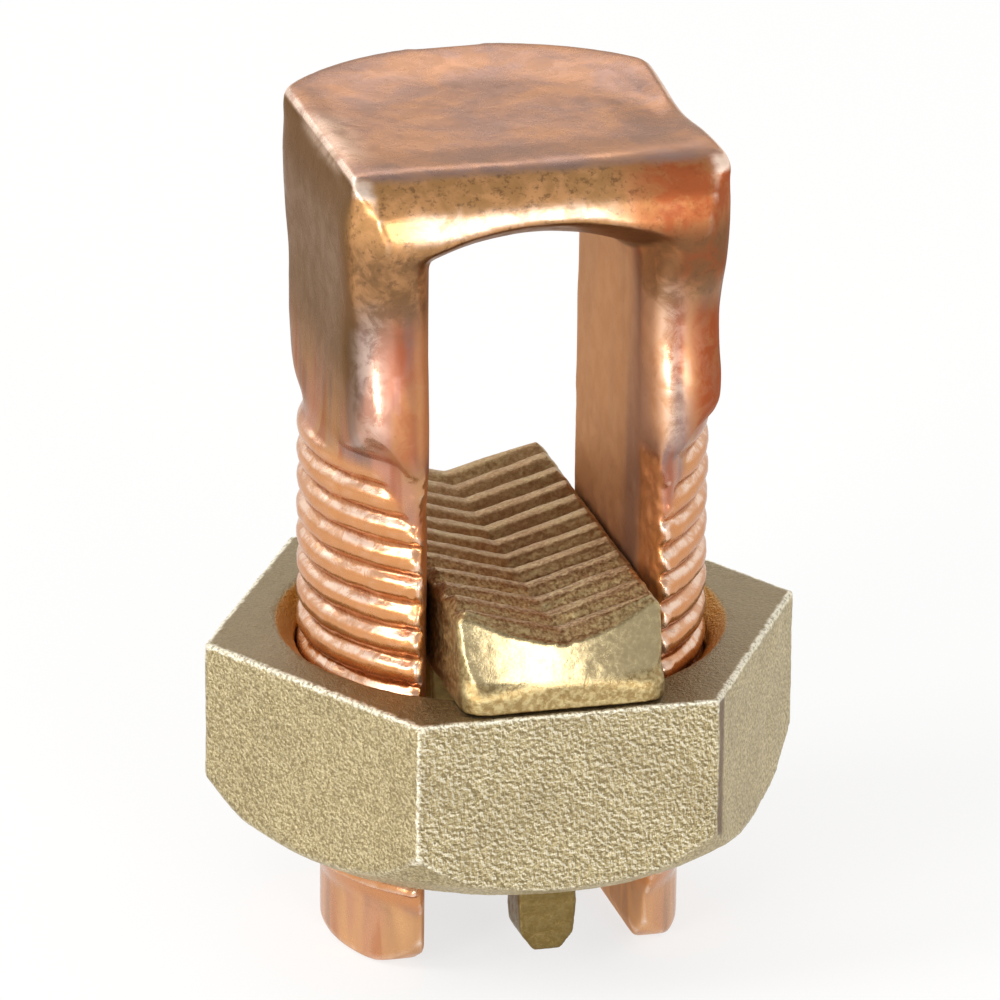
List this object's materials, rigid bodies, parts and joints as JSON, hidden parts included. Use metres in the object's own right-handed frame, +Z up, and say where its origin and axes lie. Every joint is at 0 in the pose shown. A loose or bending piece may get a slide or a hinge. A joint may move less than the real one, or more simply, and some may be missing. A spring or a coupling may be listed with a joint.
{
  "type": "split-bolt grounding connector",
  "caption": "Split-bolt grounding connector: a forged copper bolt split into two threaded legs, with a bronze hex nut that drives a serrated pressure bar up against the conductors in its slot.",
  "frame": {"origin": "on the bolt's axis, in the plane that the two feet stand on", "axes": "+Z up the bolt's axis towards the head, Y along the conductor slot, X across the two legs"},
  "size_m": [0.033, 0.0286, 0.046],
  "materials": {
    "forged_copper": "forged copper with a heat-tinted brown and pink patina, bright on the thread",
    "cast_bronze": "blasted, grainy pale bronze with worn bright edges",
    "bar_bronze": "darker golden-brown bronze, serrated on top"
  },
  "bodies": {
    "split_bolt": {"split_bolt": "forged_copper"},
    "pressure_bar": {"pressure_bar": "bar_bronze"},
    "hex_nut": {"hex_nut": "cast_bronze"}
  },
  "joints": [
    {"name": "bar_slide", "type": "slide", "parent": "split_bolt", "child": "pressure_bar", "axis": [0, 0, 1], "range_m": [-0.0063, 0.0115]},
    {"name": "nut_turn", "type": "hinge", "parent": "pressure_bar", "child": "hex_nut", "pos_m": [0, 0, 0.0121], "axis": [0, 0, 1], "range_deg": [-1440, 2610]}
  ],
  "couplings": [
    {"joint": "nut_turn", "follows": "bar_slide", "rad_per_m": 3957.9}
  ]
}
